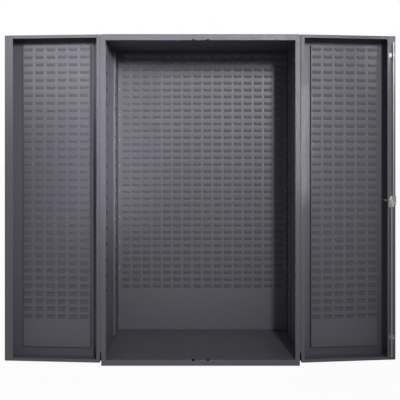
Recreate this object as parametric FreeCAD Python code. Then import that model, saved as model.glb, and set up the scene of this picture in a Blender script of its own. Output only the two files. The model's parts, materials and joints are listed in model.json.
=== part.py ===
import FreeCAD, Part
import math
import os

# Storage cabinet with two deep box doors, standing open, in millimetres.
# Frame: origin on the floor at the middle of the body, +X to the right of the
# opening, +Y to the back, +Z up. The front frame of the body faces -Y.

# Body
BODY_WIDTH = 1219.0
BODY_DEPTH = 508.0
BODY_HEIGHT = 2032.0
SHEET = 1.9
STILE_WIDTH = 28.0
HEADER_HEIGHT = 36.0
SILL_HEIGHT = 36.0
REAR_FLANGE = 25.0
STRIKE_NOTCH_WIDTH = 15.0
STRIKE_NOTCH_HEIGHT = 6.0
STRIKE_NOTCH_DEPTH = 18.0

# Slotted shelf uprights on the side walls
UPRIGHT_WIDTH = 52.0
UPRIGHT_DEPTH = 12.0
UPRIGHT_END_GAP = 14.0
UPRIGHT_FRONT_SETBACK = 95.0
UPRIGHT_REAR_SETBACK = 125.0
SLOT_WIDTH = 28.0
SLOT_HEIGHT = 22.0
SLOT_PITCH = 98.0
SLOT_START = 435.0
SLOT_TOP_MARGIN = 110.0

# Floor and what carries it
FLOOR_SIDE_GAP = 14.0
FLOOR_REAR_GAP = 10.0
FLOOR_LEDGE = 30.0
STIFFENER_WIDTH = 60.0
STIFFENER_SPACING = 380.0
STIFFENER_END_GAP = 4.0

# Bin louvres
LOUVRE_PITCH_X = 72.0
LOUVRE_PITCH_Z = 48.3
LOUVRE_WIDTH = 56.0
LOUVRE_HEIGHT = 20.0
LOUVRE_RISE = 10.0
BACK_PANEL_SIDE_GAP = 4.0
BACK_PANEL_TOP_GAP = 5.0
BACK_PANEL_FLOOR_GAP = 8.0
BACK_PANEL_STANDOFF = 12.0
BACK_PLAIN_BAND = 301.0
PANEL_EDGE = 5.0

# Rivets
RIVET_RADIUS = 4.0
RIVET_HEIGHT = 1.6
RIVET_CROWN = 0.7
RIVET_EDGE = 13.0
CORNER_RIVET_PITCH = 182.0
FLOOR_RIVET_PITCH = 243.0
FLOOR_RIVET_SETBACK = 9.0

# Doors, modelled standing open at 180 degrees and then swung by their own rest angle
DOOR_DEPTH = 102.0
DOOR_BOTTOM = 18.0
DOOR_MEETING_GAP = 26.0
DOOR_FRAME_GAP = 3.2
HINGE_LIP = 20.0
FREE_LIP = 52.0
END_LIP = 20.0
DOOR_PANEL_RECESS = 78.0
DOOR_PANEL_SIDE_MARGIN = 82.0
DOOR_PANEL_BOTTOM_MARGIN = 60.0
DOOR_PANEL_TOP_MARGIN = 46.0
DOOR_PLAIN_BAND = 180.0
LEFT_SWING_PAST_OPEN = 3.0
RIGHT_SWING_PAST_OPEN = 4.5

# Continuous hinges
HINGE_BOTTOM = 85.0
HINGE_TOP_INSET = 4.0
HINGE_OFFSET = 4.5
LEAF_THICKNESS = 1.4
LEAF_WIDTH = 18.0
KNUCKLE_RADIUS = 4.0
KNUCKLE_PITCH = 50.0
KNUCKLE_GAP = 0.4
PIN_RADIUS = 2.5
PIN_CLEARANCE = 0.05
PIN_OVERHANG = 1.5

# Three-point latch on the right door
LATCH_HEIGHT = 1004.0
LATCH_EDGE_DISTANCE = 26.0
SPINDLE_RADIUS = 6.0
SPINDLE_CLEARANCE = 0.08
BUSH_WALL = 2.0
BUSH_FLANGE = 4.0
BUSH_FLANGE_THICKNESS = 2.0
BUSH_LENGTH = 8.0
CAM_CLEARANCE = 0.3
CAM_THICKNESS = 5.0
CAM_HALF_WIDTH = 12.0
CAM_HALF_LENGTH = 33.0
CAM_EAR_RADIUS = 7.0
CAM_NOSE_REACH = 8.0
CAM_NOSE_HEIGHT = 10.0
STUD_RADIUS = 3.0
STUD_CLEARANCE = 0.02
STUD_OVERHANG = 1.2
WASHER_RADIUS = 6.4
WASHER_THICKNESS = 1.2
NUT_FLATS = 10.0
NUT_THICKNESS = 5.0
CRANK_RADIUS = 18.0
CRANK_PIN_RADIUS = 3.0
CRANK_PIN_HEAD_RADIUS = 4.2
CRANK_PIN_HEAD = 1.5
CRANK_PIN_END_GAP = 0.5
YOKE_GAP = 1.0
YOKE_THICKNESS = 4.0
YOKE_WALL = 2.4
YOKE_SLOT_CLEARANCE = 0.8
ROD_RADIUS = 4.75
ROD_SIDE_OFFSET = 6.0
ROD_STANDOFF = 13.0
ROD_END_GAP = 6.0
ROD_START_GAP = 12.0
YOKE_OVERLAP = 24.0
GUIDE_TOP_DISTANCE = 120.0
GUIDE_BOTTOM_DISTANCE = 159.0
GUIDE_WIDTH = 34.0
GUIDE_HEIGHT = 26.0
GUIDE_BASE = 2.0
GUIDE_WALL = 2.2
GUIDE_CLEARANCE = 0.1
SADDLE_HEIGHT = 18.0
GUIDE_RIVET_RADIUS = 3.0
GUIDE_RIVET_SIDE = 13.0
GUIDE_RIVET_SPREAD = 7.0

# Outer handle, lock and meeting strip of the right door
ESCUTCHEON_WIDTH = 44.0
ESCUTCHEON_HEIGHT = 92.0
ESCUTCHEON_THICKNESS = 4.0
HANDLE_CLEARANCE = 0.3
HUB_RADIUS = 15.0
HUB_LENGTH = 28.0
LEVER_LENGTH = 118.0
LEVER_ROOT = 24.0
LEVER_TIP = 18.0
LEVER_THICKNESS = 11.0
PLUG_RADIUS = 7.0
PLUG_LENGTH = 20.0
PLUG_CLEARANCE = 0.06
PLUG_PROUD = 1.0
KEYWAY_WIDTH = 1.8
KEYWAY_HEIGHT = 8.0
KEYWAY_DEPTH = 6.0
ASTRAGAL_THICKNESS = 3.0
ASTRAGAL_SEAT = 24.0
ASTRAGAL_OVERLAP = 20.0
ASTRAGAL_RELIEF = 0.5
ASTRAGAL_END_GAP = 3.0
ASTRAGAL_HANDLE_GAP = 1.0

# Planes and lines that several pieces share
HALF_WIDTH = BODY_WIDTH / 2
FRONT = -BODY_DEPTH / 2
BACK = BODY_DEPTH / 2
WALL_INNER = HALF_WIDTH - SHEET
BACK_FACE = BACK - SHEET
FLANGE_FACE = BACK_FACE - SHEET
CEILING = BODY_HEIGHT - SHEET
HEADER_EDGE = BODY_HEIGHT - HEADER_HEIGHT
LEDGE_TOP = SILL_HEIGHT - SHEET
OPENING_HALF = HALF_WIDTH - STILE_WIDTH
DOOR_WIDTH = HALF_WIDTH - DOOR_MEETING_GAP / 2
DOOR_TOP = BODY_HEIGHT
DOOR_SKIN_FACE = DOOR_DEPTH - SHEET
HINGE_X = HALF_WIDTH + HINGE_OFFSET
HINGE_Y = FRONT - DOOR_FRAME_GAP / 2
HINGE_TOP = DOOR_TOP - HINGE_TOP_INSET
DOOR_X = HALF_WIDTH + 2 * HINGE_OFFSET
LATCH_U = DOOR_WIDTH - LATCH_EDGE_DISTANCE
STRIKE_X = DOOR_MEETING_GAP / 2 + LATCH_EDGE_DISTANCE + ROD_SIDE_OFFSET

# The latch stack, as distances in front of the door's lip
CAM_BACK = BUSH_FLANGE_THICKNESS + CAM_CLEARANCE
CAM_FACE = CAM_BACK + CAM_THICKNESS
WASHER_FACE = CAM_FACE + WASHER_THICKNESS
NUT_FACE = WASHER_FACE + NUT_THICKNESS
YOKE_BACK = CAM_FACE + YOKE_GAP
YOKE_FACE = YOKE_BACK + YOKE_THICKNESS
PIN_HEAD_BACK = YOKE_FACE + CRANK_PIN_END_GAP
CRANK_REACH = CRANK_RADIUS * math.sqrt(0.5)
HUB_BACK = DOOR_DEPTH + ESCUTCHEON_THICKNESS + HANDLE_CLEARANCE
HUB_FACE = HUB_BACK + HUB_LENGTH

UP = FreeCAD.Vector(0, 0, 1)
REARWARD = FreeCAD.Vector(0, 1, 0)


def vector(x, y, z):
    return FreeCAD.Vector(x, y, z)


def block(x_pair, y_pair, z_pair):
    """A box between two values on each axis, in either order."""
    low = [min(pair) for pair in (x_pair, y_pair, z_pair)]
    size = [abs(pair[1] - pair[0]) for pair in (x_pair, y_pair, z_pair)]
    return Part.makeBox(*size, vector(*low))


def fused(shapes):
    """One clean solid from shapes that overlap or share faces."""
    whole = shapes[0].multiFuse(shapes[1:]).removeSplitter()
    return whole.Solids[0]


def panel_side(side, inner, outer, y_pair, z_pair):
    """A box given by its distances from the middle plane, on the right (1) or left (-1)."""
    return block((side * inner, side * outer), y_pair, z_pair)


# Body pieces


def side_panel(side):
    wall = panel_side(side, WALL_INNER, HALF_WIDTH, (FRONT, BACK_FACE), (0, CEILING))
    stile = panel_side(side, OPENING_HALF, HALF_WIDTH, (FRONT, FRONT + SHEET), (0, CEILING))
    flange_inner = HALF_WIDTH - REAR_FLANGE
    flange = panel_side(side, flange_inner, HALF_WIDTH, (FLANGE_FACE, BACK_FACE), (0, CEILING))
    return fused([wall, stile, flange])


def shelf_upright(side, y):
    """A channel with its flanges on the side wall and a column of shelf slots in its web."""
    web_inner = WALL_INNER - UPRIGHT_DEPTH
    web_outer = web_inner + SHEET
    y_front = y - UPRIGHT_WIDTH / 2
    y_rear = y + UPRIGHT_WIDTH / 2
    z_pair = (SILL_HEIGHT + UPRIGHT_END_GAP, CEILING - UPRIGHT_END_GAP)
    web = panel_side(side, web_inner, web_outer, (y_front, y_rear), z_pair)
    front_flange = panel_side(side, web_inner, WALL_INNER, (y_front, y_front + SHEET), z_pair)
    rear_flange = panel_side(side, web_inner, WALL_INNER, (y_rear - SHEET, y_rear), z_pair)
    slot_y = (y - SLOT_WIDTH / 2, y + SLOT_WIDTH / 2)
    slots = []
    for z in slot_levels():
        slot_z = (z - SLOT_HEIGHT / 2, z + SLOT_HEIGHT / 2)
        slots.append(panel_side(side, web_inner - SHEET, web_outer + SHEET, slot_y, slot_z))
    return fused([web, front_flange, rear_flange]).cut(Part.makeCompound(slots))


def slot_levels():
    count = int((BODY_HEIGHT - SLOT_TOP_MARGIN - SLOT_START) / SLOT_PITCH) + 1
    return [SLOT_START + index * SLOT_PITCH for index in range(count)]


def back_panel():
    return block((-HALF_WIDTH, HALF_WIDTH), (BACK_FACE, BACK), (0, CEILING))


def strike_notches(y_pair, z_pair):
    """Cutters for the two places where a latch rod can pass."""
    half = STRIKE_NOTCH_WIDTH / 2
    return [block((x - half, x + half), y_pair, z_pair) for x in (-STRIKE_X, STRIKE_X)]


def top_panel():
    roof = block((-HALF_WIDTH, HALF_WIDTH), (FRONT, BACK), (CEILING, BODY_HEIGHT))
    header = block((-OPENING_HALF, OPENING_HALF), (FRONT, FRONT + SHEET), (HEADER_EDGE, BODY_HEIGHT))
    notch_top = HEADER_EDGE + STRIKE_NOTCH_HEIGHT
    notches = strike_notches((FRONT - SHEET, FRONT + 2 * SHEET), (HEADER_EDGE - SHEET, notch_top))
    return fused([roof, header]).cut(Part.makeCompound(notches))


def floor_panel():
    half = WALL_INNER - FLOOR_SIDE_GAP
    rear = BACK_FACE - FLOOR_REAR_GAP
    sheet = block((-half, half), (FRONT + SHEET, rear), (LEDGE_TOP, SILL_HEIGHT))
    bend = block((-OPENING_HALF, OPENING_HALF), (FRONT, FRONT + 2 * SHEET), (LEDGE_TOP, SILL_HEIGHT))
    sill = block((-OPENING_HALF, OPENING_HALF), (FRONT, FRONT + SHEET), (0, SILL_HEIGHT))
    notch_bottom = SILL_HEIGHT - STRIKE_NOTCH_HEIGHT
    notch_y = (FRONT - SHEET, FRONT + STRIKE_NOTCH_DEPTH)
    notches = strike_notches(notch_y, (notch_bottom, SILL_HEIGHT + SHEET))
    return fused([sheet, bend, sill]).cut(Part.makeCompound(notches))


def side_floor_angle(side):
    y_pair = (FRONT + SHEET, FLANGE_FACE)
    ledge = panel_side(side, WALL_INNER - FLOOR_LEDGE, WALL_INNER, y_pair, (LEDGE_TOP - SHEET, LEDGE_TOP))
    leg = panel_side(side, WALL_INNER - SHEET, WALL_INNER, y_pair, (SHEET, LEDGE_TOP))
    return fused([ledge, leg])


def rear_floor_angle():
    half = WALL_INNER - FLOOR_LEDGE
    ledge = block((-half, half), (BACK_FACE - FLOOR_LEDGE, BACK_FACE), (LEDGE_TOP - SHEET, LEDGE_TOP))
    leg = block((-half, half), (BACK_FACE - SHEET, BACK_FACE), (SHEET, LEDGE_TOP))
    return fused([ledge, leg])


def floor_stiffener(x):
    """An upright channel under the floor, its web flat on the ground."""
    half = STIFFENER_WIDTH / 2
    front_end = FRONT + STRIKE_NOTCH_DEPTH + STIFFENER_END_GAP
    y_pair = (front_end, BACK_FACE - FLOOR_LEDGE - STIFFENER_END_GAP)
    web = block((x - half, x + half), y_pair, (0, SHEET))
    left = block((x - half, x - half + SHEET), y_pair, (0, LEDGE_TOP))
    right = block((x + half - SHEET, x + half), y_pair, (0, LEDGE_TOP))
    return fused([web, left, right])


# Louvred panels


def polygon_face(points):
    return Part.Face(Part.makePolygon(list(points) + [points[0]]))


def rectangle(u_pair, v_pair, w):
    corners = [(u_pair[0], v_pair[0]), (u_pair[1], v_pair[0]), (u_pair[1], v_pair[1]), (u_pair[0], v_pair[1])]
    return [vector(u, v, w) for u, v in corners]


def louvre_faces():
    """One hood, closed below and at its ends and open on top, with its lower edge at v = 0."""
    half = LOUVRE_WIDTH / 2
    inner = half - SHEET
    slope = LOUVRE_RISE / LOUVRE_HEIGHT
    skin = SHEET * math.sqrt(1 + slope * slope)
    foot = (skin - SHEET) / slope
    mouth = LOUVRE_RISE - skin
    top = LOUVRE_HEIGHT
    faces = [
        polygon_face([vector(-half, 0, 0), vector(half, 0, 0), vector(half, top, LOUVRE_RISE),
                      vector(-half, top, LOUVRE_RISE)]),
        polygon_face([vector(-inner, foot, -SHEET), vector(inner, foot, -SHEET), vector(inner, top, mouth),
                      vector(-inner, top, mouth)]),
        polygon_face([vector(-half, top, 0), vector(-half, top, LOUVRE_RISE), vector(half, top, LOUVRE_RISE),
                      vector(half, top, 0), vector(inner, top, 0), vector(inner, top, mouth),
                      vector(-inner, top, mouth), vector(-inner, top, 0)]),
        polygon_face([vector(-inner, top, -SHEET), vector(inner, top, -SHEET), vector(inner, top, 0),
                      vector(-inner, top, 0)]),
    ]
    for side in (-1, 1):
        outer_end = [vector(side * half, 0, 0), vector(side * half, top, 0),
                     vector(side * half, top, LOUVRE_RISE)]
        inner_end = [vector(side * inner, foot, -SHEET), vector(side * inner, top, -SHEET),
                     vector(side * inner, top, 0), vector(side * inner, top, mouth)]
        faces.append(polygon_face(outer_end))
        faces.append(polygon_face(inner_end))
    front_hole = [vector(-half, 0, 0), vector(half, 0, 0), vector(half, top, 0), vector(inner, top, 0),
                  vector(-inner, top, 0), vector(-half, top, 0)]
    back_hole = rectangle((-inner, inner), (foot, top), -SHEET)
    return faces, front_hole, back_hole


def louvre_places(width, height, plain_band):
    """Lower middle points of the hoods that fit a panel, row by row."""
    columns = int((width - 2 * PANEL_EDGE - LOUVRE_WIDTH) / LOUVRE_PITCH_X) + 1
    rows = int((height - plain_band - PANEL_EDGE - LOUVRE_HEIGHT) / LOUVRE_PITCH_Z) + 1
    first = (width - (columns - 1) * LOUVRE_PITCH_X) / 2
    places = []
    for row in range(rows):
        for column in range(columns):
            places.append(vector(first + column * LOUVRE_PITCH_X, plain_band + row * LOUVRE_PITCH_Z, 0))
    return places


def wire_at(points, place):
    moved = [point + place for point in points]
    return Part.makePolygon(moved + [moved[0]])


def holed_face(outline, holes):
    face = polygon_face(outline)
    face.cutHoles(holes)
    return face


def louvred_pan(width, height, depth, plain_band):
    """A sheet with bin louvres whose four edges turn back by depth, lying in the XY plane."""
    faces, front_hole, back_hole = louvre_faces()
    hood = Part.makeCompound(faces)
    places = louvre_places(width, height, plain_band)
    inside_u = (SHEET, width - SHEET)
    inside_v = (SHEET, height - SHEET)
    outer_rim = rectangle((0, width), (0, height), -depth)
    inner_rim = rectangle(inside_u, inside_v, -depth)
    front_holes = [wire_at(front_hole, place) for place in places]
    back_holes = [wire_at(back_hole, place) for place in places]
    skin = [
        holed_face(rectangle((0, width), (0, height), 0), front_holes),
        holed_face(rectangle(inside_u, inside_v, -SHEET), back_holes),
        holed_face(outer_rim, [Part.makePolygon(inner_rim + [inner_rim[0]])]),
    ]
    rise_outer = vector(0, 0, depth)
    rise_inner = vector(0, 0, depth - SHEET)
    for rim, rise in ((outer_rim, rise_outer), (inner_rim, rise_inner)):
        for index in range(4):
            start = rim[index]
            end = rim[(index + 1) % 4]
            skin.append(polygon_face([start, end, end + rise, start + rise]))
    for place in places:
        copy = hood.copy()
        copy.translate(place)
        skin.extend(copy.Faces)
    shell = Part.makeCompound(skin)
    shell.sewShape()
    solid = Part.makeSolid(shell.Shells[0])
    if solid.Volume < 0:
        solid.reverse()
    return solid


def stood_up(pan, x, y, z):
    """Stand a pan upright with its louvres towards -Y and its lower left corner at a place."""
    pan.rotate(vector(0, 0, 0), vector(1, 0, 0), 90)
    pan.translate(vector(x, y, z))
    return pan


BACK_LOUVRE_HALF = WALL_INNER - BACK_PANEL_SIDE_GAP
BACK_LOUVRE_BOTTOM = SILL_HEIGHT + BACK_PANEL_FLOOR_GAP
BACK_LOUVRE_TOP = CEILING - BACK_PANEL_TOP_GAP
BACK_LOUVRE_FACE = FLANGE_FACE - BACK_PANEL_STANDOFF


def back_louvre_panel():
    height = BACK_LOUVRE_TOP - BACK_LOUVRE_BOTTOM
    pan = louvred_pan(2 * BACK_LOUVRE_HALF, height, BACK_PANEL_STANDOFF, BACK_PLAIN_BAND)
    return stood_up(pan, -BACK_LOUVRE_HALF, BACK_LOUVRE_FACE, BACK_LOUVRE_BOTTOM)


# Rivets


def rivet(centre, direction, radius):
    """A low head whose flat side lies at centre and whose crown points along direction."""
    return Part.makeCone(radius, RIVET_CROWN * radius, RIVET_HEIGHT, centre, direction)


def spread(low, high, pitch):
    """Evenly pitched places, centred between two limits."""
    count = int((high - low) / pitch)
    start = (low + high - count * pitch) / 2
    return [start + index * pitch for index in range(count + 1)]


def corner_rivets(side):
    x = side * (BACK_LOUVRE_HALF - RIVET_EDGE)
    levels = spread(BACK_LOUVRE_BOTTOM + RIVET_EDGE, BACK_LOUVRE_TOP - RIVET_EDGE, CORNER_RIVET_PITCH)
    heads = [rivet(vector(x, BACK_LOUVRE_FACE, z), -REARWARD, RIVET_RADIUS) for z in levels]
    return Part.makeCompound(heads)


def floor_rivets():
    y = BACK_LOUVRE_FACE - FLOOR_RIVET_SETBACK
    half = WALL_INNER - FLOOR_RIVET_PITCH
    places = spread(-half, half, FLOOR_RIVET_PITCH)
    heads = [rivet(vector(x, y, SILL_HEIGHT), UP, RIVET_RADIUS) for x in places]
    return Part.makeCompound(heads)


# Continuous hinges


def knuckle_spans():
    """Heights of the hinge knuckles; even ones belong to the body, odd ones to the door."""
    length = HINGE_TOP - HINGE_BOTTOM
    count = 2 * int(length / (2 * KNUCKLE_PITCH)) + 1
    pitch = length / count
    spans = []
    for index in range(count):
        low = HINGE_BOTTOM + index * pitch
        spans.append((low + KNUCKLE_GAP / 2, low + pitch - KNUCKLE_GAP / 2))
    return spans


def hinge_leaf(side, towards_door):
    """A leaf of a continuous hinge: towards the door (1) or towards the body (-1) of its axis."""
    reach = side * towards_door
    axis_x = side * HINGE_X
    near = axis_x + reach * (KNUCKLE_RADIUS + KNUCKLE_GAP)
    far = axis_x + reach * (HINGE_OFFSET + LEAF_WIDTH)
    y_pair = (FRONT - LEAF_THICKNESS, FRONT)
    pieces = [block((near, far), y_pair, (HINGE_BOTTOM, HINGE_TOP))]
    first = 0 if towards_door < 0 else 1
    centre = vector(axis_x, HINGE_Y, 0)
    for low, high in knuckle_spans()[first::2]:
        pieces.append(Part.makeCylinder(KNUCKLE_RADIUS, high - low, centre + UP * low, UP))
        pieces.append(block((axis_x, near), y_pair, (low, high)))
    bore = Part.makeCylinder(PIN_RADIUS + PIN_CLEARANCE, HINGE_TOP, centre, UP)
    return fused(pieces).cut(bore)


def hinge_pin(side):
    low = HINGE_BOTTOM - PIN_OVERHANG
    length = HINGE_TOP - HINGE_BOTTOM + 2 * PIN_OVERHANG
    return Part.makeCylinder(PIN_RADIUS, length, vector(side * HINGE_X, HINGE_Y, low), UP)


# Doors. A place on a door is given by u, from its hinge edge to its free edge,
# by n, from the rim that meets the body to the outer skin, and by its height z.


def door_point(side, u, n, z):
    return vector(side * (DOOR_X + u), FRONT + n, z)


def door_block(side, u_pair, n_pair, z_pair):
    return block([side * (DOOR_X + u) for u in u_pair], [FRONT + n for n in n_pair], z_pair)


def swung(shape, side):
    """Turn a door piece about its hinge from 180 degrees to its rest angle."""
    past = RIGHT_SWING_PAST_OPEN if side > 0 else LEFT_SWING_PAST_OPEN
    shape.rotate(vector(side * HINGE_X, HINGE_Y, 0), UP, side * past)
    return shape


def door_shell(side):
    full_u = (0, DOOR_WIDTH)
    full_n = (0, DOOR_DEPTH)
    full_z = (DOOR_BOTTOM, DOOR_TOP)
    lip_n = (0, SHEET)
    pieces = [
        door_block(side, full_u, (DOOR_SKIN_FACE, DOOR_DEPTH), full_z),
        door_block(side, (0, SHEET), full_n, full_z),
        door_block(side, (DOOR_WIDTH - SHEET, DOOR_WIDTH), full_n, full_z),
        door_block(side, full_u, full_n, (DOOR_BOTTOM, DOOR_BOTTOM + SHEET)),
        door_block(side, full_u, full_n, (DOOR_TOP - SHEET, DOOR_TOP)),
        door_block(side, (0, HINGE_LIP), lip_n, full_z),
        door_block(side, (DOOR_WIDTH - FREE_LIP, DOOR_WIDTH), lip_n, full_z),
        door_block(side, full_u, lip_n, (DOOR_BOTTOM, DOOR_BOTTOM + END_LIP)),
        door_block(side, full_u, lip_n, (DOOR_TOP - END_LIP, DOOR_TOP)),
    ]
    return fused(pieces)


def latched_door_shell():
    """The right door's shell, with the holes for the latch spindle and its bush."""
    centre = door_point(1, LATCH_U, -SHEET, LATCH_HEIGHT)
    hole = Part.makeCylinder(SPINDLE_RADIUS + BUSH_WALL, DOOR_DEPTH + 2 * SHEET, centre, REARWARD)
    return door_shell(1).cut(hole)


def door_louvre_panel(side):
    width = DOOR_WIDTH - 2 * DOOR_PANEL_SIDE_MARGIN
    bottom = DOOR_BOTTOM + DOOR_PANEL_BOTTOM_MARGIN
    height = DOOR_TOP - DOOR_PANEL_TOP_MARGIN - bottom
    pan = louvred_pan(width, height, DOOR_SKIN_FACE - DOOR_PANEL_RECESS, DOOR_PLAIN_BAND)
    left_edge = DOOR_PANEL_SIDE_MARGIN if side > 0 else DOOR_WIDTH - DOOR_PANEL_SIDE_MARGIN
    corner = door_point(side, left_edge, DOOR_PANEL_RECESS, bottom)
    return stood_up(pan, corner.x, corner.y, corner.z)


# Latch pieces, all on the right door. A place is given by its offset du and dz
# from the spindle and its distance f in front of the lip.


def latch_point(du, f, dz):
    return door_point(1, LATCH_U + du, -f, LATCH_HEIGHT + dz)


def latch_block(u_pair, f_pair, z_pair):
    n_pair = [-f for f in f_pair]
    return door_block(1, [LATCH_U + u for u in u_pair], n_pair, [LATCH_HEIGHT + z for z in z_pair])


def latch_disc(du, dz, radius, f_pair):
    return Part.makeCylinder(radius, f_pair[1] - f_pair[0], latch_point(du, f_pair[1], dz), REARWARD)


def crank_points():
    """Where the crank pins stand with the latch open: top rod's pin, then bottom rod's."""
    return [(CRANK_REACH, -CRANK_REACH), (-CRANK_REACH, CRANK_REACH)]


def spindle_bush():
    bore = SPINDLE_RADIUS + SPINDLE_CLEARANCE
    sleeve_radius = SPINDLE_RADIUS + BUSH_WALL
    sleeve = latch_disc(0, 0, sleeve_radius, (-BUSH_LENGTH, BUSH_FLANGE_THICKNESS))
    flange = latch_disc(0, 0, sleeve_radius + BUSH_FLANGE, (0, BUSH_FLANGE_THICKNESS))
    return fused([sleeve, flange]).cut(latch_disc(0, 0, bore, (-BUSH_LENGTH, BUSH_FLANGE_THICKNESS)))


def spindle():
    shaft = latch_disc(0, 0, SPINDLE_RADIUS, (-HUB_BACK, CAM_BACK))
    stud = latch_disc(0, 0, STUD_RADIUS, (-HUB_BACK, NUT_FACE + STUD_OVERHANG))
    return fused([shaft, stud])


def latch_cam():
    f_pair = (CAM_BACK, CAM_FACE)
    bar = latch_block((-CAM_HALF_WIDTH, CAM_HALF_WIDTH), f_pair, (-CAM_HALF_LENGTH, CAM_HALF_LENGTH))
    nose_u = (0, CAM_HALF_WIDTH + CAM_NOSE_REACH)
    nose = latch_block(nose_u, f_pair, (CAM_HALF_LENGTH - CAM_NOSE_HEIGHT, CAM_HALF_LENGTH))
    ears = [latch_disc(du, dz, CAM_EAR_RADIUS, f_pair) for du, dz in crank_points()]
    return fused([bar, nose] + ears).cut(latch_disc(0, 0, STUD_RADIUS + STUD_CLEARANCE, f_pair))


def crank_pins():
    pins = []
    for du, dz in crank_points():
        shank = latch_disc(du, dz, CRANK_PIN_RADIUS, (CAM_FACE, PIN_HEAD_BACK + CRANK_PIN_HEAD))
        head = latch_disc(du, dz, CRANK_PIN_HEAD_RADIUS, (PIN_HEAD_BACK, PIN_HEAD_BACK + CRANK_PIN_HEAD))
        pins.append(fused([shank, head]))
    return Part.makeCompound(pins)


def cam_washer():
    f_pair = (CAM_FACE, WASHER_FACE)
    return latch_disc(0, 0, WASHER_RADIUS, f_pair).cut(latch_disc(0, 0, STUD_RADIUS + STUD_CLEARANCE, f_pair))


def cam_nut():
    corner = NUT_FLATS / math.sqrt(3)
    points = []
    for index in range(6):
        angle = math.radians(60 * index)
        points.append(latch_point(corner * math.cos(angle), NUT_FACE, corner * math.sin(angle)))
    body = polygon_face(points).extrude(REARWARD * NUT_THICKNESS)
    return body.cut(latch_disc(0, 0, STUD_RADIUS + STUD_CLEARANCE, (WASHER_FACE, NUT_FACE)))


def latch_rod(up):
    """A latch rod with its yoke: the top rod (up = 1) or the bottom rod (up = -1)."""
    end = HEADER_EDGE - ROD_END_GAP if up > 0 else SILL_HEIGHT + ROD_END_GAP
    start = LATCH_HEIGHT + up * ROD_START_GAP
    foot = door_point(1, LATCH_U + up * ROD_SIDE_OFFSET, -ROD_STANDOFF, start)
    rod = Part.makeCylinder(ROD_RADIUS, abs(end - start), foot, UP * up)
    slot_half_height = CRANK_PIN_RADIUS + YOKE_SLOT_CLEARANCE
    slot_near = CRANK_REACH - slot_half_height
    slot_far = CRANK_RADIUS + slot_half_height
    slot_middle = -CRANK_REACH
    yoke_f = (YOKE_BACK, YOKE_FACE)
    low = slot_middle - slot_half_height - YOKE_WALL
    high = ROD_START_GAP + YOKE_OVERLAP
    yoke_u = [up * (slot_near - YOKE_WALL), up * (slot_far + YOKE_WALL)]
    strap = latch_block(yoke_u, yoke_f, (up * low, up * high))
    neck_u = [up * ROD_SIDE_OFFSET, up * slot_far]
    neck = latch_block(neck_u, yoke_f, (up * ROD_START_GAP, up * high))
    slot_z = [up * (slot_middle - slot_half_height), up * (slot_middle + slot_half_height)]
    slot = latch_block([up * slot_near, up * slot_far], yoke_f, slot_z)
    return fused([rod, strap, neck]).cut(slot)


def rod_guide(up):
    """A saddle on the lip that a latch rod slides through."""
    z = guide_height(up) - LATCH_HEIGHT
    base_z = (z - GUIDE_HEIGHT / 2, z + GUIDE_HEIGHT / 2)
    saddle_z = (z - SADDLE_HEIGHT / 2, z + SADDLE_HEIGHT / 2)
    middle = up * ROD_SIDE_OFFSET
    outer = ROD_RADIUS + GUIDE_CLEARANCE + GUIDE_WALL
    base = latch_block((-GUIDE_WIDTH / 2, GUIDE_WIDTH / 2), (0, GUIDE_BASE), base_z)
    post = latch_block((middle - outer, middle + outer), (0, ROD_STANDOFF), saddle_z)
    foot = latch_point(middle, ROD_STANDOFF, saddle_z[0])
    crown = Part.makeCylinder(outer, SADDLE_HEIGHT, foot, UP)
    bore = Part.makeCylinder(ROD_RADIUS + GUIDE_CLEARANCE, SADDLE_HEIGHT, foot, UP)
    return fused([base, post, crown]).cut(bore)


def guide_height(up):
    return BODY_HEIGHT - GUIDE_TOP_DISTANCE if up > 0 else GUIDE_BOTTOM_DISTANCE


def guide_rivets():
    heads = []
    for up in (1, -1):
        for dz in (-GUIDE_RIVET_SPREAD, GUIDE_RIVET_SPREAD):
            z = guide_height(up) - LATCH_HEIGHT + dz
            du = -up * (GUIDE_RIVET_SIDE - GUIDE_RIVET_RADIUS)
            heads.append(rivet(latch_point(du, GUIDE_BASE, z), -REARWARD, GUIDE_RIVET_RADIUS))
    return Part.makeCompound(heads)


def handle_escutcheon():
    half_width = ESCUTCHEON_WIDTH / 2
    half_height = ESCUTCHEON_HEIGHT / 2
    f_pair = (-DOOR_DEPTH - ESCUTCHEON_THICKNESS, -DOOR_DEPTH)
    plate = latch_block((-half_width, half_width), f_pair, (-half_height, half_height))
    return plate.cut(latch_disc(0, 0, SPINDLE_RADIUS + SPINDLE_CLEARANCE, f_pair))


def handle_lever():
    """The outer handle: a round hub with a tapered lever that points to the hinges when open."""
    hub = latch_disc(0, 0, HUB_RADIUS, (-HUB_FACE, -HUB_BACK))
    face = -HUB_FACE
    outline = [
        latch_point(0, face, LEVER_ROOT / 2),
        latch_point(0, face, -LEVER_ROOT / 2),
        latch_point(-LEVER_LENGTH, face, -LEVER_TIP / 2),
        latch_point(-LEVER_LENGTH, face, LEVER_TIP / 2),
    ]
    lever = polygon_face(outline).extrude(-REARWARD * LEVER_THICKNESS)
    plug_bore = latch_disc(0, 0, PLUG_RADIUS + PLUG_CLEARANCE, (-HUB_FACE, -HUB_FACE + PLUG_LENGTH))
    return fused([hub, lever]).cut(plug_bore)


def lock_plug():
    outer = -HUB_FACE - PLUG_PROUD
    body = latch_disc(0, 0, PLUG_RADIUS, (outer, -HUB_FACE + PLUG_LENGTH))
    keyway_z = (-KEYWAY_HEIGHT / 2, KEYWAY_HEIGHT / 2)
    keyway = latch_block((-KEYWAY_WIDTH / 2, KEYWAY_WIDTH / 2), (outer, outer + KEYWAY_DEPTH), keyway_z)
    return body.cut(keyway)


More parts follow.
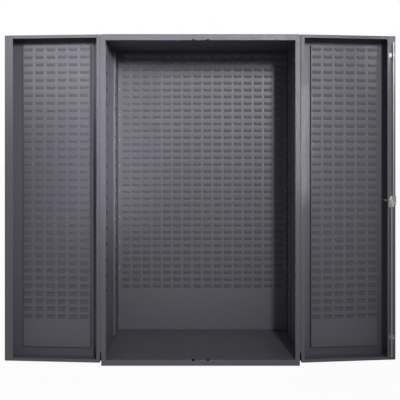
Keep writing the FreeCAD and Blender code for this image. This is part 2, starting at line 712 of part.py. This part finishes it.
def door_astragal():
    """The strip on the right door's outer face that covers the gap and holds the left door shut."""
    z_pair = (DOOR_BOTTOM + ASTRAGAL_END_GAP, DOOR_TOP - ASTRAGAL_END_GAP)
    outer = DOOR_DEPTH + ASTRAGAL_THICKNESS
    seat = door_block(1, (DOOR_WIDTH - ASTRAGAL_SEAT, DOOR_WIDTH), (DOOR_DEPTH, outer), z_pair)
    cover_n = (DOOR_DEPTH + ASTRAGAL_RELIEF, outer)
    reach = DOOR_WIDTH + DOOR_MEETING_GAP + ASTRAGAL_OVERLAP
    cover = door_block(1, (DOOR_WIDTH, reach), cover_n, z_pair)
    half_width = ESCUTCHEON_WIDTH / 2 + ASTRAGAL_HANDLE_GAP
    half_height = ESCUTCHEON_HEIGHT / 2 + ASTRAGAL_HANDLE_GAP
    window = latch_block((-half_width, half_width), (-outer, -DOOR_DEPTH), (-half_height, half_height))
    return fused([seat, cover]).cut(window)


def body_nodes():
    nodes = {
        "back_panel": back_panel(),
        "top_panel": top_panel(),
        "floor_panel": floor_panel(),
        "rear_floor_angle": rear_floor_angle(),
        "back_louvre_panel": back_louvre_panel(),
        "floor_rivets": floor_rivets(),
        "left_floor_stiffener": floor_stiffener(-STIFFENER_SPACING),
        "middle_floor_stiffener": floor_stiffener(0),
        "right_floor_stiffener": floor_stiffener(STIFFENER_SPACING),
    }
    for side, name in ((-1, "left"), (1, "right")):
        nodes[name + "_side_panel"] = side_panel(side)
        nodes[name + "_front_upright"] = shelf_upright(side, FRONT + UPRIGHT_FRONT_SETBACK)
        nodes[name + "_rear_upright"] = shelf_upright(side, BACK - UPRIGHT_REAR_SETBACK)
        nodes[name + "_floor_angle"] = side_floor_angle(side)
        nodes[name + "_corner_rivets"] = corner_rivets(side)
        nodes[name + "_hinge_body_leaf"] = hinge_leaf(side, -1)
        nodes[name + "_hinge_pin"] = hinge_pin(side)
    return nodes


def door_nodes():
    nodes = {}
    for side, name in ((-1, "left"), (1, "right")):
        shell = latched_door_shell() if side > 0 else door_shell(side)
        nodes[name + "_door_shell"] = swung(shell, side)
        nodes[name + "_door_louvre_panel"] = swung(door_louvre_panel(side), side)
        nodes[name + "_hinge_door_leaf"] = swung(hinge_leaf(side, 1), side)
    return nodes


def latch_nodes():
    pieces = {
        "door_astragal": door_astragal(),
        "spindle_bush": spindle_bush(),
        "top_rod_guide": rod_guide(1),
        "bottom_rod_guide": rod_guide(-1),
        "guide_rivets": guide_rivets(),
        "handle_escutcheon": handle_escutcheon(),
        "handle_lever": handle_lever(),
        "latch_spindle": spindle(),
        "latch_cam": latch_cam(),
        "crank_pins": crank_pins(),
        "cam_washer": cam_washer(),
        "cam_nut": cam_nut(),
        "top_latch_rod": latch_rod(1),
        "bottom_latch_rod": latch_rod(-1),
        "lock_plug": lock_plug(),
    }
    return {name: swung(shape, 1) for name, shape in pieces.items()}


os.makedirs("parts", exist_ok=True)
for group in (body_nodes(), door_nodes(), latch_nodes()):
    for node, shape in group.items():
        shape.exportStep("parts/" + node + ".step")
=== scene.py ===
import json
import math

import bmesh
import bpy
from mathutils import Matrix, Vector


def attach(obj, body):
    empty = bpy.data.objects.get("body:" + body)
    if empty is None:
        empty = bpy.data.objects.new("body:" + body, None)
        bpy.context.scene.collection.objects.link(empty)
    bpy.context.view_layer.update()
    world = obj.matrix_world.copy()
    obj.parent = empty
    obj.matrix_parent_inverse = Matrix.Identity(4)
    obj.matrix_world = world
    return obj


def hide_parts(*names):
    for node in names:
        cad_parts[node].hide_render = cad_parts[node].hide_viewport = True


# Storage cabinet with its doors open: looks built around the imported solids, in metres.

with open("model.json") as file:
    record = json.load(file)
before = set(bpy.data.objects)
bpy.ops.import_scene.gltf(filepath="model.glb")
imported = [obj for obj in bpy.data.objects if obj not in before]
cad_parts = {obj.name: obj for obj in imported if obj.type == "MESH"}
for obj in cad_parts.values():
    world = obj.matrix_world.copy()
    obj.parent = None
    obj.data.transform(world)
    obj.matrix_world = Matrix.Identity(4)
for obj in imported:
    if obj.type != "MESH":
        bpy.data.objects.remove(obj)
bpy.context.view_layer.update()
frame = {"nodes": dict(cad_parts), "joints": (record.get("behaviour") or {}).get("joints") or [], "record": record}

MM = 0.001

# Sheet metal
SHEET = 1.9 * MM
BEND_OUTER = 3.0 * MM
BEND_INNER = 1.1 * MM
SHEET_EDGE = 0.45 * MM
PART_EDGE = 0.5 * MM
WELD_DISTANCE = 0.02 * MM
NARROW_FACE = 2.6 * MM
FLAT_ANGLE = math.radians(0.3)
BEND_ANGLE = math.radians(60)
SHARP_ANGLE = math.radians(40)
BEND_SEGMENTS = 4
EDGE_SEGMENTS = 2
ROUND_PROFILE = 0.5

# Bin louvres
LOUVRE_PITCH_X = 72 * MM
LOUVRE_PITCH_Z = 48.3 * MM
LOUVRE_HALF_WIDTH = 28 * MM
LOUVRE_HEIGHT = 20 * MM
LOUVRE_RISE = 10 * MM
LOUVRE_END = 8 * MM
LOUVRE_BULGE = 0.7
# Where a hood has grid lines: in from each end, and up from its foot
LOUVRE_ACROSS = [0, 1.6 * MM, 3.2 * MM, 5.2 * MM, 8.0 * MM]
LOUVRE_UP = [0, 0.8 * MM, 2.4 * MM, 5.0 * MM, 9.0 * MM, 13.5 * MM, 20.0 * MM]
PANEL_EDGE = 5 * MM
BACK_PLAIN_BAND = 301 * MM
DOOR_PLAIN_BAND = 180 * MM
PAN_BEND = 2.6 * MM
PAN_BEND_STEPS = 4

# How far the doors are turned past flat open at rest, about the upright axis
REST_TURN = {"left": math.radians(-3.0), "right": math.radians(4.5)}

# Rivet heads
RIVET_STEPS = 20
RIVET_RINGS = 5

# Powder coat
PAINT = (0.123, 0.121, 0.135)
PAINT_DRIFT = (0.122, 0.118, 0.146)
# Paler rounded edges: partly a thinner coat there, partly a painted highlight along the bends
PAINT_THIN_EDGE_AND_HIGHLIGHT = (0.21, 0.21, 0.225)
# Near-black painted shade inside the shelf uprights' channels and on their slot edges
PAINT_SLOT_SHADE = (0.008, 0.008, 0.009)
PAINT_ROUGHNESS = (0.44, 0.52)
PAINT_SPECULAR = 0.4

# Metals by name: light and dark colour, range of roughness, and metallic
METALS = {
    "zinc_plate": ((0.92, 0.91, 0.88), (0.82, 0.82, 0.80), (0.28, 0.40), 0.3),
    "dull_zinc": ((0.52, 0.52, 0.52), (0.42, 0.42, 0.42), (0.34, 0.46), 0.6),
    "handle_chrome": ((0.72, 0.72, 0.73), (0.64, 0.64, 0.65), (0.14, 0.24), 1.0),
    "lock_brass": ((0.72, 0.58, 0.30), (0.62, 0.48, 0.24), (0.22, 0.34), 1.0),
}

# Noises: scale and detail
DRIFT_NOISE = (2.4, 4.0)
EDGE_COAT_AND_HIGHLIGHT_NOISE = (90.0, 3.0)
GLOSS_NOISE = (38.0, 3.0)
PEEL_NOISE = (620.0, 2.0)
CLOUD_NOISE = (130.0, 4.0)
GRAIN_NOISE = (420.0, 3.0)
FLOOR_NOISE = (1.5, 3.0)

# The part of a noise's range that is stretched over what it drives
COLOUR_RANGE = (0.35, 0.65)
GLOSS_RANGE = (0.3, 0.7)
EDGE_COAT_AND_HIGHLIGHT_RANGE = (0.4, 0.7)
EDGE_COAT_AND_HIGHLIGHT_AMOUNT = (0.1, 0.7)
WHOLE = (0.0, 1.0)
SURFACE_BUMP = 0.02 * MM

# The picture
CAMERA_PLACE = (0.08, -3.215, 1.29)
CAMERA_TURN = (math.pi / 2, 0, 0)
CAMERA_LENS = 43.5
CAMERA_SENSOR = 36.0
CAMERA_SHIFT = (-0.034, -0.1117)
# Lights by name: place, aim, size, spread in degrees and power
LIGHTS = {
    "key": ((1.30, -4.60, 2.80), (-0.30, 0.0, 1.70), (0.36, 1.10), 58, 24.5),
    "left_door_gleam": ((-2.2, -3.2, 2.6), (-1.0, -0.2, 2.0), (0.5, 0.5), 26, 1.1),
    "right_stile_gleam": ((1.8, -4.45, 1.5), (0.655, -0.25, 1.38), (0.05, 0.7), 2.4, 0.12),
    "right_lip_gleam": ((2.95, -3.2, 2.6), (1.32, -0.2, 1.95), (0.2, 0.3), 8, 0.2),
    "left_wall_fill": ((2.2, -3.5, 1.9), (-0.60, 0.0, 1.45), (0.3, 1.2), 11, 1.5),
}
AMBIENT = 0.28
WHITE = (1.0, 1.0, 1.0, 1.0)
FLOOR_HALF = 60.0
FLOOR_GLOW = 0.96
FLOOR_GREYS = ((0.86, 0.86, 0.86), (0.90, 0.90, 0.90))
SHADE_GREYS = ((0.60, 0.60, 0.60), (0.66, 0.66, 0.66))
FLOOR_ROUGHNESS = 0.9
# Half the width and depth of the floor that the cabinet's body covers
FOOTPRINT = (0.60, 0.25)

FORWARD = Vector((0, -1, 0))
UPWARD = Vector((0, 0, 1))

SHEETS = [
    "left_side_panel", "right_side_panel", "back_panel", "top_panel", "floor_panel", "left_floor_angle",
    "right_floor_angle", "rear_floor_angle", "left_floor_stiffener", "middle_floor_stiffener",
    "right_floor_stiffener", "left_door_shell", "right_door_shell", "door_astragal",
]
UPRIGHTS = ["left_front_upright", "left_rear_upright", "right_front_upright", "right_rear_upright"]
PARTS = [
    "left_hinge_body_leaf", "right_hinge_body_leaf", "left_hinge_door_leaf", "right_hinge_door_leaf",
    "left_hinge_pin", "right_hinge_pin", "spindle_bush", "top_rod_guide", "bottom_rod_guide", "latch_spindle",
    "latch_cam", "crank_pins", "cam_washer", "cam_nut", "top_latch_rod", "bottom_latch_rod",
    "handle_escutcheon", "handle_lever", "lock_plug",
]
# Zinc-plated pieces with a dull, darkened plate
DULL = {
    "top_latch_rod", "bottom_latch_rod", "top_rod_guide", "bottom_rod_guide", "guide_rivets", "floor_rivets",
    "left_corner_rivets", "right_corner_rivets",
}

record = frame["record"]
slot_of = {part["node"]: part["material_slot"] for part in record["subparts"]}
body_of = {}
for body, members in record["behaviour"]["bodies"].items():
    for member in members:
        body_of[member] = body
hinge_place = {}
for joint in frame["joints"]:
    for side in REST_TURN:
        if joint["name"] == side + "_door_hinge":
            hinge_place[side] = Vector(joint["pos_m"])


# Materials


def new_material(name):
    """A material, its nodes and links, its shader, and the coordinate that its noises use."""
    material = bpy.data.materials.new(name)
    material.use_nodes = True
    nodes = material.node_tree.nodes
    coordinate = nodes.new("ShaderNodeTexCoord").outputs["Object"]
    return material, nodes, material.node_tree.links, nodes["Principled BSDF"], coordinate


def noise(nodes, links, coordinate, setting):
    texture = nodes.new("ShaderNodeTexNoise")
    texture.inputs["Scale"].default_value = setting[0]
    texture.inputs["Detail"].default_value = setting[1]
    links.new(coordinate, texture.inputs["Vector"])
    return texture.outputs["Fac"]


def remap(nodes, links, value, span, result):
    node = nodes.new("ShaderNodeMapRange")
    node.inputs["From Min"].default_value = span[0]
    node.inputs["From Max"].default_value = span[1]
    node.inputs["To Min"].default_value = result[0]
    node.inputs["To Max"].default_value = result[1]
    links.new(value, node.inputs["Value"])
    return node.outputs["Result"]


def mixed(nodes, links, factor, first, second):
    """A blend of two colours, each a plain colour or another node's output."""
    node = nodes.new("ShaderNodeMix")
    node.data_type = "RGBA"
    links.new(factor, node.inputs["Factor"])
    for key, colour in (("A", first), ("B", second)):
        socket = [s for s in node.inputs if s.name == key and s.type == "RGBA"][0]
        if isinstance(colour, tuple):
            socket.default_value = (*colour, 1.0)
        else:
            links.new(colour, socket)
    return [s for s in node.outputs if s.type == "RGBA"][0]


def bump(nodes, links, height, distance):
    node = nodes.new("ShaderNodeBump")
    node.inputs["Distance"].default_value = distance
    links.new(height, node.inputs["Height"])
    return node.outputs["Normal"]


def attribute(nodes, name):
    node = nodes.new("ShaderNodeAttribute")
    node.attribute_name = name
    return node.outputs["Fac"]


def product(nodes, links, first):
    """A multiplication whose second input is still to be set or linked."""
    node = nodes.new("ShaderNodeMath")
    node.operation = "MULTIPLY"
    links.new(first, node.inputs[0])
    return node


def powder_coat():
    """Dark grey semi-gloss powder coat with orange peel, uneven gloss, paler edges from a thinner coat and a
    painted highlight, and near-black painted shade inside the uprights.
    """
    material, nodes, links, shader, coordinate = new_material("powder_coat")
    drift = remap(nodes, links, noise(nodes, links, coordinate, DRIFT_NOISE), COLOUR_RANGE, WHOLE)
    colour = mixed(nodes, links, drift, PAINT, PAINT_DRIFT)
    # Paler rounded edges, patchy: a thinner coat plus a painted highlight
    thin_edge_and_highlight = product(nodes, links, attribute(nodes, "edge"))
    uneven = noise(nodes, links, coordinate, EDGE_COAT_AND_HIGHLIGHT_NOISE)
    links.new(remap(nodes, links, uneven, EDGE_COAT_AND_HIGHLIGHT_RANGE, EDGE_COAT_AND_HIGHLIGHT_AMOUNT), thin_edge_and_highlight.inputs[1])
    edge_thinned_and_highlit = mixed(nodes, links, thin_edge_and_highlight.outputs[0], colour, PAINT_THIN_EDGE_AND_HIGHLIGHT)
    # Painted shade: near-black inside the uprights' channels and slots
    slot_shaded = mixed(nodes, links, attribute(nodes, "painted_slot_shade"), edge_thinned_and_highlit, PAINT_SLOT_SHADE)
    links.new(slot_shaded, shader.inputs["Base Color"])
    gloss = noise(nodes, links, coordinate, GLOSS_NOISE)
    links.new(remap(nodes, links, gloss, GLOSS_RANGE, PAINT_ROUGHNESS), shader.inputs["Roughness"])
    shader.inputs["Specular IOR Level"].default_value = PAINT_SPECULAR
    peel = noise(nodes, links, coordinate, PEEL_NOISE)
    links.new(bump(nodes, links, peel, SURFACE_BUMP), shader.inputs["Normal"])
    return material


def plated(name, light, dark, roughness, metallic):
    """A plated or polished metal with faint cloudy variation in colour and gloss."""
    material, nodes, links, shader, coordinate = new_material(name)
    cloud = remap(nodes, links, noise(nodes, links, coordinate, CLOUD_NOISE), COLOUR_RANGE, WHOLE)
    links.new(mixed(nodes, links, cloud, light, dark), shader.inputs["Base Color"])
    shader.inputs["Metallic"].default_value = metallic
    grain = noise(nodes, links, coordinate, GRAIN_NOISE)
    links.new(remap(nodes, links, grain, GLOSS_RANGE, roughness), shader.inputs["Roughness"])
    links.new(bump(nodes, links, grain, SURFACE_BUMP), shader.inputs["Normal"])
    return material


# By material slot, with dull_zinc as a second finish of the zinc slot
MATERIALS = {"powder_coat": powder_coat()}
for metal, finish in METALS.items():
    MATERIALS[metal] = plated(metal, *finish)


def material_for(node):
    return MATERIALS["dull_zinc" if node in DULL else slot_of[node]]


# Meshes from the solids


def extent(points):
    """The lowest and the highest corner of some points."""
    low = Vector([min(point[axis] for point in points) for axis in range(3)])
    high = Vector([max(point[axis] for point in points) for axis in range(3)])
    return low, high


def welded(node):
    """A node's mesh with its triangles joined into flat faces."""
    bm = bmesh.new()
    bm.from_mesh(frame["nodes"][node].data)
    bmesh.ops.remove_doubles(bm, verts=bm.verts, dist=WELD_DISTANCE)
    bmesh.ops.dissolve_limit(
        bm, angle_limit=FLAT_ANGLE, use_dissolve_boundaries=False, verts=bm.verts, edges=bm.edges
    )
    bm.normal_update()
    return bm


def is_narrow(face):
    return 2 * face.calc_area() / face.calc_perimeter() < NARROW_FACE


def corner_edges(bm, least, convex, wide_only):
    """Edges with a real corner: outward or inward, and between two wide faces if asked."""
    found = []
    for edge in bm.edges:
        if len(edge.link_faces) != 2:
            continue
        angle = edge.calc_face_angle_signed(0.0)
        if (angle if convex else -angle) < least:
            continue
        if wide_only and any(is_narrow(face) for face in edge.link_faces):
            continue
        found.append(edge)
    return found


def rounded(bm, edges, radius, segments):
    """Rounds some edges and gives the faces that this makes."""
    if not edges:
        return []
    made = bmesh.ops.bevel(
        bm, geom=edges, offset=radius, offset_type="OFFSET", affect="EDGES", segments=segments,
        profile=ROUND_PROFILE, clamp_overlap=False, loop_slide=True,
    )
    bm.normal_update()
    return made["faces"]


def mesh_from(bm, name, edge_faces):
    """A mesh that keeps which faces lie on a rounded edge, for the paint to show."""
    bm.faces.index_update()
    marked = {face.index for face in edge_faces if face.is_valid}
    mesh = bpy.data.meshes.new(name)
    bm.to_mesh(mesh)
    bm.free()
    on_edge = mesh.attributes.new("edge", "FLOAT", "FACE")
    for index in marked:
        on_edge.data[index].value = 1.0
    return mesh


def dressed(node, mesh):
    """Puts a mesh in a node's place: its material, its smooth shading and the body that it rides on."""
    for polygon in mesh.polygons:
        polygon.use_smooth = True
    mesh.set_sharp_from_angle(angle=SHARP_ANGLE)
    mesh.materials.clear()
    mesh.materials.append(material_for(node))
    piece = bpy.data.objects.new(mesh.name, mesh)
    bpy.context.scene.collection.objects.link(piece)
    normals = piece.modifiers.new("even_normals", "WEIGHTED_NORMAL")
    normals.keep_sharp = True
    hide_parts(node)
    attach(piece, body_of[node])
    return piece


def kept_inside(bm, node):
    """Pulls back points that a rounded corner has pushed out of the node's own box."""
    low, high = extent([vert.co for vert in frame["nodes"][node].data.vertices])
    for vert in bm.verts:
        for axis in range(3):
            vert.co[axis] = min(max(vert.co[axis], low[axis]), high[axis])


def folded_sheet(node):
    """A sheet with round bends and softened edges."""
    bm = welded(node)
    rounded(bm, corner_edges(bm, BEND_ANGLE, convex=True, wide_only=True), BEND_OUTER, BEND_SEGMENTS)
    rounded(bm, corner_edges(bm, BEND_ANGLE, convex=False, wide_only=True), BEND_INNER, BEND_SEGMENTS)
    sharp = corner_edges(bm, SHARP_ANGLE, convex=True, wide_only=False)
    edges = rounded(bm, sharp, SHEET_EDGE, EDGE_SEGMENTS)
    kept_inside(bm, node)
    return dressed(node, mesh_from(bm, node + ".sheet", edges))


def shelf_upright(node):
    """A slotted channel whose inside and slot edges are painted near-black as painted shade."""
    mesh = folded_sheet(node).data
    slot_shade = mesh.attributes.new("painted_slot_shade", "FLOAT", "FACE")
    inward = -1.0 if node.startswith("right") else 1.0
    web = max(inward * vert.co.x for vert in mesh.vertices)
    low, high = extent([vert.co for vert in mesh.vertices])
    for polygon in mesh.polygons:
        depth = web - inward * polygon.center.x
        edge_distance = min(polygon.center.y - low.y, high.y - polygon.center.y)
        inside = edge_distance > SHEET / 2 and depth > SHEET / 4
        slot_shade.data[polygon.index].value = 1.0 if inside else 0.0


def machined(node):
    """A solid part with its outer edges broken by a small radius."""
    bm = welded(node)
    sharp = corner_edges(bm, SHARP_ANGLE, convex=True, wide_only=False)
    edges = rounded(bm, sharp, PART_EDGE, EDGE_SEGMENTS)
    dressed(node, mesh_from(bm, node + ".part", edges))


# Louvred panels


def hood_height(across, up):
    """How far a hood stands out: across from its nearer end, up from its foot, steepest at the foot."""
    end = math.sin(math.pi / 2 * min(across / LOUVRE_END, 1.0))
    return LOUVRE_RISE * end * (up / LOUVRE_HEIGHT) ** LOUVRE_BULGE


def panel_lines(length, first, pitch, count, stops):
    """Grid lines along a panel, each with its place inside a hood or None."""
    lines = [(PAN_BEND, None)]
    for index in range(count):
        start = first + index * pitch
        lines += [(start + stop, stop) for stop in stops]
    lines.append((length - PAN_BEND, None))
    return lines


def louvre_lines(width, height, plain_band):
    """The grid lines across and up a panel, with as many hoods as fit above its plain band."""
    columns = int((width - 2 * PANEL_EDGE - 2 * LOUVRE_HALF_WIDTH) / LOUVRE_PITCH_X) + 1
    rows = int((height - plain_band - PANEL_EDGE - LOUVRE_HEIGHT) / LOUVRE_PITCH_Z) + 1
    first = (width - (columns - 1) * LOUVRE_PITCH_X) / 2 - LOUVRE_HALF_WIDTH
    across = LOUVRE_ACROSS + [2 * LOUVRE_HALF_WIDTH - stop for stop in reversed(LOUVRE_ACROSS)]
    return (
        panel_lines(width, first, LOUVRE_PITCH_X, columns, across),
        panel_lines(height, plain_band, LOUVRE_PITCH_Z, rows, LOUVRE_UP),
    )


def louvred_surface(bm, width, height, plain_band):
    """The front of a louvred sheet, lying in the XZ plane and facing -Y, slit along the top of every hood."""
    across_lines, up_lines = louvre_lines(width, height, plain_band)
    verts = {}

    def vert(i, j, hooded):
        x, across = across_lines[i]
        z, up = up_lines[j]
        out = 0.0
        if hooded and across is not None and up is not None:
            out = hood_height(min(across, 2 * LOUVRE_HALF_WIDTH - across), up)
        key = (i, j, out > 0)
        if key not in verts:
            verts[key] = bm.verts.new((x, -out, z))
        return verts[key]

    for j in range(len(up_lines) - 1):
        hooded = up_lines[j][1] not in (None, LOUVRE_UP[-1])
        for i in range(len(across_lines) - 1):
            corners = [(i, j), (i + 1, j), (i + 1, j + 1), (i, j + 1)]
            bm.faces.new([vert(a, b, hooded) for a, b in corners])


def on_rim(edge, width, height):
    middle = (edge.verts[0].co + edge.verts[1].co) / 2
    limit = PAN_BEND + WELD_DISTANCE
    return min(middle.x, width - middle.x) < limit or min(middle.z, height - middle.z) < limit


def pushed_out(value, length, out):
    """A rim coordinate moved to its place on the bend, if it lies on that side."""
    if value < PAN_BEND + WELD_DISTANCE:
        return PAN_BEND - out
    if value > length - PAN_BEND - WELD_DISTANCE:
        return length - PAN_BEND + out
    return value


def turned_back(bm, width, height, depth):
    """Folds the sheet's four edges back by depth, round the bend and straight on."""
    rim = [edge for edge in bm.edges if edge.is_boundary and on_rim(edge, width, height)]
    places = []
    for step in range(1, PAN_BEND_STEPS + 1):
        angle = math.pi / 2 * step / PAN_BEND_STEPS
        places.append((PAN_BEND * math.sin(angle), PAN_BEND * (1 - math.cos(angle))))
    places.append((PAN_BEND, depth))
    for out, back in places:
        made = bmesh.ops.extrude_edge_only(bm, edges=rim)["geom"]
        rim = [item for item in made if isinstance(item, bmesh.types.BMEdge) and item.is_boundary]
        for vert in {vert for edge in rim for vert in edge.verts}:
            vert.co.y = back
            vert.co.x = pushed_out(vert.co.x, width, out)
            vert.co.z = pushed_out(vert.co.z, height, out)


def louvred_panel(node, plain_band, turn, pivot):
    """A louvred pan in the place of its node, which stands at a turn about a pivot."""
    stand = Matrix.Translation(pivot) @ Matrix.Rotation(turn, 4, "Z")
    back = stand.inverted()
    low, high = extent([back @ vert.co for vert in frame["nodes"][node].data.vertices])
    face = low.y + LOUVRE_RISE
    width = high.x - low.x
    height = high.z - low.z
    bm = bmesh.new()
    louvred_surface(bm, width, height, plain_band)
    turned_back(bm, width, height, high.y - face)
    bmesh.ops.recalc_face_normals(bm, faces=bm.faces)
    bm.transform(stand @ Matrix.Translation((low.x, face, low.z)))
    piece = dressed(node, mesh_from(bm, node + ".sheet", []))
    thick = piece.modifiers.new("sheet", "SOLIDIFY")
    thick.thickness = SHEET
    thick.offset = -1.0
    piece.modifiers.move(piece.modifiers.find("sheet"), 0)


# Rivets


def islands(bm):
    """The separate solids of a mesh, each as the set of its points."""
    left = set(bm.verts)
    found = []
    while left:
        group = set()
        waiting = [left.pop()]
        while waiting:
            vert = waiting.pop()
            group.add(vert)
            for edge in vert.link_edges:
                other = edge.other_vert(vert)
                if other in left:
                    left.discard(other)
                    waiting.append(other)
        found.append(group)
    return found


def circle(bm, place, radius, level):
    """A ring of points round the axis of a place, at a level along it."""
    angles = [2 * math.pi * step / RIVET_STEPS for step in range(RIVET_STEPS)]
    spots = [Vector((radius * math.cos(angle), radius * math.sin(angle), level)) for angle in angles]
    return [bm.verts.new(place @ spot) for spot in spots]


def dome(bm, base, axis, radius, height):
    """A low domed head on its flat base."""
    turn = axis.to_track_quat("Z", "Y").to_matrix().to_4x4()
    place = Matrix.Translation(base) @ turn
    rings = []
    for ring in range(RIVET_RINGS):
        angle = math.pi / 2 * ring / RIVET_RINGS
        rings.append(circle(bm, place, radius * math.cos(angle), height * math.sin(angle)))
    top = bm.verts.new(place @ Vector((0, 0, height)))
    for lower, upper in zip(rings, rings[1:]):
        for step in range(RIVET_STEPS):
            after = (step + 1) % RIVET_STEPS
            bm.faces.new([lower[step], lower[after], upper[after], upper[step]])
    for step in range(RIVET_STEPS):
        bm.faces.new([rings[-1][step], rings[-1][(step + 1) % RIVET_STEPS], top])
    bm.faces.new(list(reversed(rings[0])))


def rivets(node, axis):
    """Domed heads where a node's rivets are, crown along axis."""
    solid = welded(node)
    heads = bmesh.new()
    for group in islands(solid):
        middle = sum((vert.co for vert in group), Vector()) / len(group)
        levels = [(vert.co - middle).dot(axis) for vert in group]
        reaches = [(vert.co - middle - axis * (vert.co - middle).dot(axis)).length for vert in group]
        base = middle + axis * min(levels)
        dome(heads, base, axis, max(reaches), max(levels) - min(levels))
    solid.free()
    dressed(node, mesh_from(heads, node + ".heads", []))


# The picture


def added(name, data):
    """A new object in the scene."""
    obj = bpy.data.objects.new(name, data)
    bpy.context.scene.collection.objects.link(obj)
    return obj


def area_light(name, place, aim, size, spread, power):
    lamp = bpy.data.lights.new(name, "AREA")
    lamp.shape = "RECTANGLE"
    lamp.size = size[0]
    lamp.size_y = size[1]
    lamp.spread = math.radians(spread)
    lamp.energy = power
    obj = added(name, lamp)
    obj.location = place
    obj.visible_camera = False
    direction = Vector(aim) - obj.location
    obj.rotation_euler = direction.to_track_quat("-Z", "Y").to_euler()


def studio_world():
    """White behind the object, and a dimmer even light from all round."""
    world = bpy.data.worlds.new("studio")
    bpy.context.scene.world = world
    world.use_nodes = True
    nodes = world.node_tree.nodes
    links = world.node_tree.links
    light = nodes["Background"]
    light.inputs["Strength"].default_value = AMBIENT
    light.inputs["Color"].default_value = WHITE
    seen = nodes.new("ShaderNodeBackground")
    seen.inputs["Color"].default_value = WHITE
    path = nodes.new("ShaderNodeLightPath")
    mix = nodes.new("ShaderNodeMixShader")
    links.new(path.outputs["Is Camera Ray"], mix.inputs["Fac"])
    links.new(light.outputs["Background"], mix.inputs[1])
    links.new(seen.outputs["Background"], mix.inputs[2])
    links.new(mix.outputs["Shader"], nodes["World Output"].inputs["Surface"])


def matt_floor(name, greys):
    """A matt floor with a faint drift in its grey."""
    material, nodes, links, shader, coordinate = new_material(name)
    drift = noise(nodes, links, coordinate, FLOOR_NOISE)
    links.new(mixed(nodes, links, drift, *greys), shader.inputs["Base Color"])
    shader.inputs["Roughness"].default_value = FLOOR_ROUGHNESS
    return material, nodes, links, shader


def pale_floor():
    """The open floor, which the camera sees as an even near-white."""
    material, nodes, links, shader = matt_floor("pale_floor", FLOOR_GREYS)
    glow = nodes.new("ShaderNodeEmission")
    path = nodes.new("ShaderNodeLightPath")
    share = product(nodes, links, path.outputs["Is Camera Ray"])
    share.inputs[1].default_value = FLOOR_GLOW
    mix = nodes.new("ShaderNodeMixShader")
    links.new(share.outputs[0], mix.inputs["Fac"])
    links.new(shader.outputs["BSDF"], mix.inputs[1])
    links.new(glow.outputs["Emission"], mix.inputs[2])
    links.new(mix.outputs["Shader"], nodes["Material Output"].inputs["Surface"])
    return material


def studio_floor():
    """A floor of nine faces, the middle one under the cabinet's body and without the glow."""
    xs = (-FLOOR_HALF, -FOOTPRINT[0], FOOTPRINT[0], FLOOR_HALF)
    ys = (-FLOOR_HALF, -FOOTPRINT[1], FOOTPRINT[1], FLOOR_HALF)
    points = [(x, y, 0.0) for y in ys for x in xs]
    row = len(xs)
    firsts = [row * j + i for j in range(len(ys) - 1) for i in range(row - 1)]
    faces = [(first, first + 1, first + row + 1, first + row) for first in firsts]
    mesh = bpy.data.meshes.new("floor")
    mesh.from_pydata(points, [], faces)
    mesh.materials.append(pale_floor())
    mesh.materials.append(matt_floor("shaded_floor", SHADE_GREYS)[0])
    mesh.polygons[len(faces) // 2].material_index = 1
    floor = added("floor", mesh)


def camera():
    lens = bpy.data.cameras.new("camera")
    lens.lens = CAMERA_LENS
    lens.sensor_width = CAMERA_SENSOR
    lens.shift_x, lens.shift_y = CAMERA_SHIFT
    obj = added("camera", lens)
    obj.location = CAMERA_PLACE
    obj.rotation_euler = CAMERA_TURN
    bpy.context.scene.camera = obj


for sheet in SHEETS:
    folded_sheet(sheet)
for upright in UPRIGHTS:
    shelf_upright(upright)
for part in PARTS:
    machined(part)
louvred_panel("back_louvre_panel", BACK_PLAIN_BAND, 0.0, Vector())
for side, turn in REST_TURN.items():
    louvred_panel(side + "_door_louvre_panel", DOOR_PLAIN_BAND, turn, hinge_place[side])
rivets("left_corner_rivets", FORWARD)
rivets("right_corner_rivets", FORWARD)
rivets("floor_rivets", UPWARD)
rivets("guide_rivets", Matrix.Rotation(REST_TURN["right"], 3, "Z") @ FORWARD)

camera()
studio_world()
studio_floor()
for light, values in LIGHTS.items():
    area_light(light, *values)
bpy.context.scene.view_settings.view_transform = "Standard"
